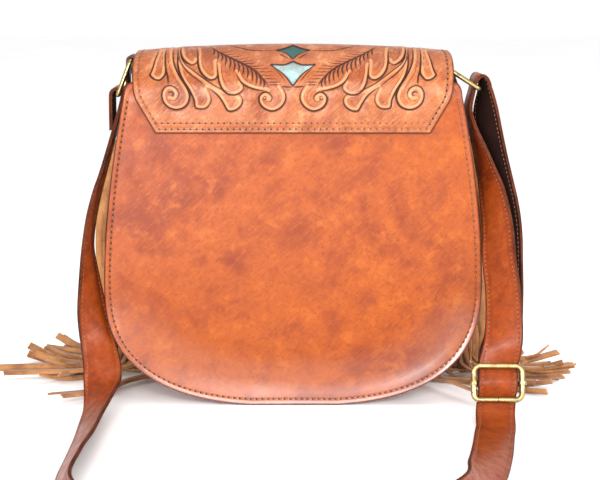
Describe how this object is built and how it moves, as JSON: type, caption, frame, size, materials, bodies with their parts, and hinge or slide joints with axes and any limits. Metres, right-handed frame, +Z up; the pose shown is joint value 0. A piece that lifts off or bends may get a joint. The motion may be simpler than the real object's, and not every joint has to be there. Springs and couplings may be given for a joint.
{
  "type": "tassel crossbody bag",
  "caption": "Upright tooled leather crossbody bag with a flap over the top, a suede fringe round its front, ring-held strap and a slider buckle.",
  "frame": {"origin": "middle of the gusset's flat bottom, on the surface that the bag stands on", "axes": "+Z up; -Y out of the plain back, the side with the flap's tab; +Y out of the fringed front; +X to the right seen from the back"},
  "size_m": [0.4777, 0.586, 0.2863],
  "materials": {
    "leather": "smooth orange-tan leather, waxed, with darker cloudy patches and fine scratches",
    "tooled_leather": "orange-tan leather with pressed and carved leaf and scroll work, darker in the hollows",
    "strap_leather": "two layers of orange-tan leather stitched along both edges, raw light cut edges",
    "dark_leather": "dark brown leather, seen on edge",
    "suede": "cut suede, matt, with a fine nap",
    "brass": "antique brass, darkened, with rubbed highlights",
    "teal_inlay": "dark teal inlaid leather, matt",
    "turquoise_inlay": "pale turquoise inlaid leather, matt and slightly worn"
  },
  "bodies": {
    "root": {"back_panel": "leather", "front_panel": "leather", "gusset": "leather", "flap": "tooled_leather", "inlay_diamond": "teal_inlay", "inlay_kite": "turquoise_inlay", "tab_left": "dark_leather", "tab_right": "dark_leather", "ring_left": "brass", "ring_right": "brass", "strap": "strap_leather", "slider_frame": "brass", "slider_bar": "brass", "magnet_snap": "brass", "fringe": "suede"}
  },
  "joints": []
}
